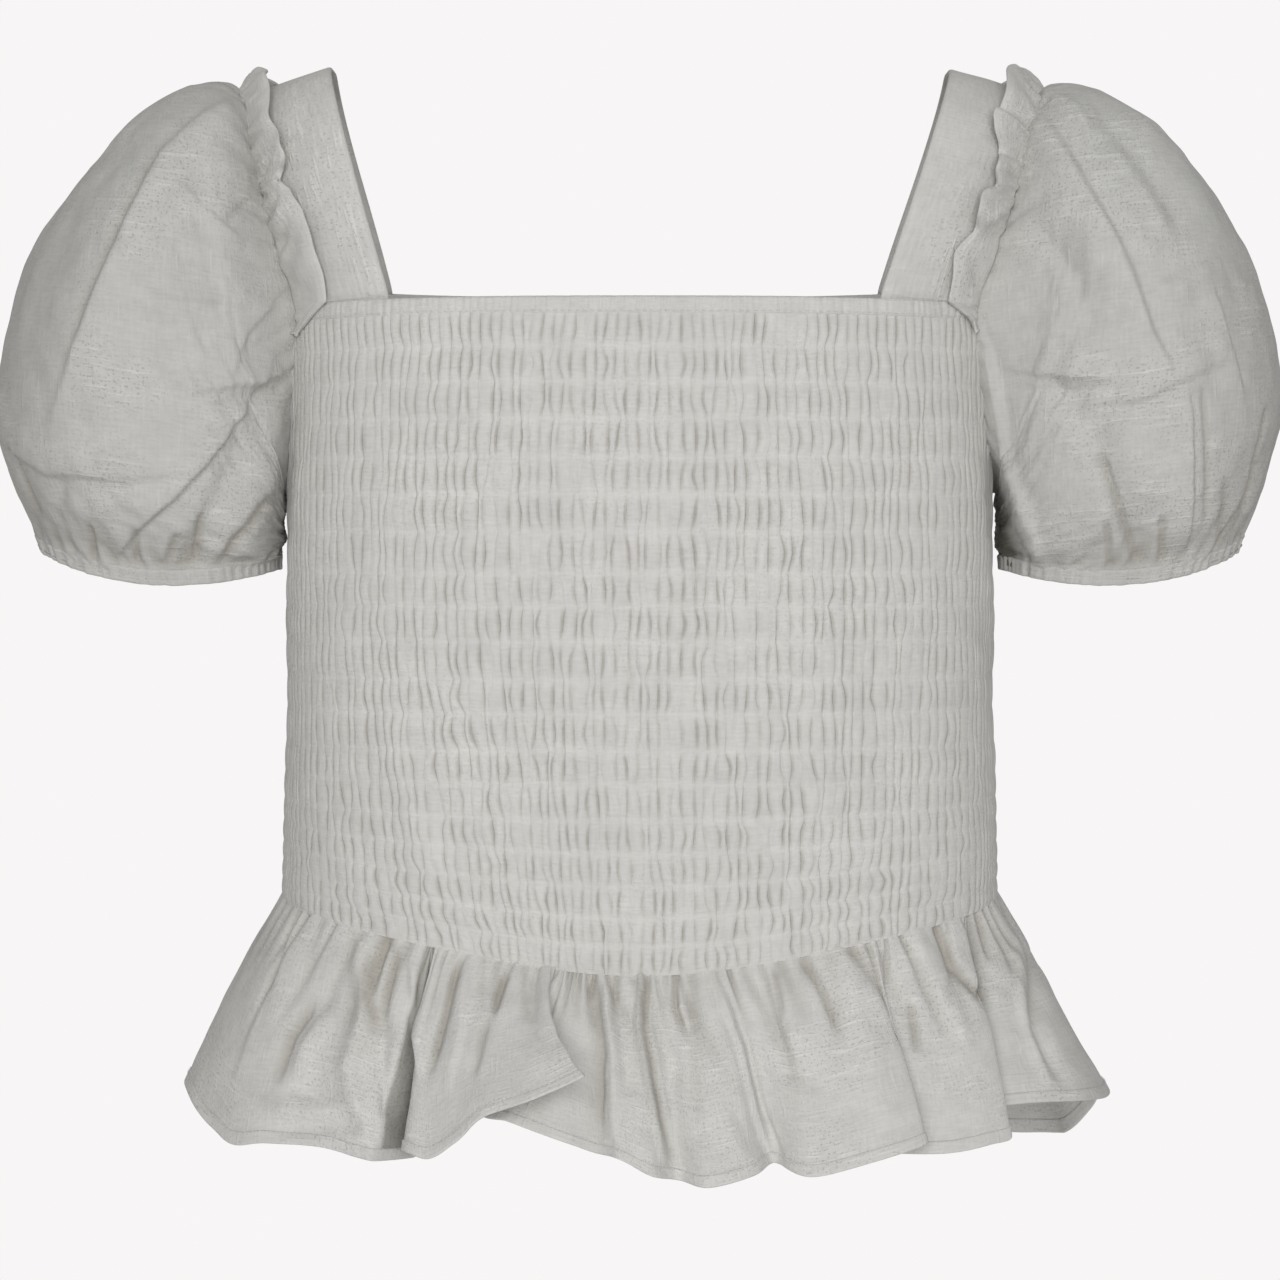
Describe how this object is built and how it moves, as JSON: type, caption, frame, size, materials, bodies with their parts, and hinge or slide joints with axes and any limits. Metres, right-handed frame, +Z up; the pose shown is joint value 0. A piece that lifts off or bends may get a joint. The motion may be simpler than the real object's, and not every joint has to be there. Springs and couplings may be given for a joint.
{
  "type": "shirred short-sleeved top, filled out as worn",
  "caption": "Girl's off-white cotton gauze top with a shirred body, square neck, wide straps, short puff sleeves with frilled heads and a gathered peplum, as a hollow form.",
  "frame": {"origin": "midway between the highest points of the two straps, where the wearer's shoulders hold the top up", "axes": "+Z up, +X towards the wearer's left sleeve, so the front faces -Y"},
  "size_m": [0.4772, 0.2677, 0.414],
  "materials": {
    "shirred_gauze": "matt off-white slubby cotton gauze, shirred in rows with elastic thread",
    "plain_gauze": "matt off-white slubby cotton gauze, plain"
  },
  "bodies": {
    "root": {"bodice_front": "shirred_gauze", "bodice_back": "shirred_gauze", "neck_casing_front": "shirred_gauze", "neck_casing_back": "shirred_gauze", "strap_left": "plain_gauze", "strap_right": "plain_gauze", "sleeve_left": "plain_gauze", "sleeve_right": "plain_gauze", "sleeve_frill_left": "plain_gauze", "sleeve_frill_right": "plain_gauze", "sleeve_hem_left": "plain_gauze", "sleeve_hem_right": "plain_gauze", "peplum_front": "plain_gauze", "peplum_back": "plain_gauze"}
  },
  "joints": []
}
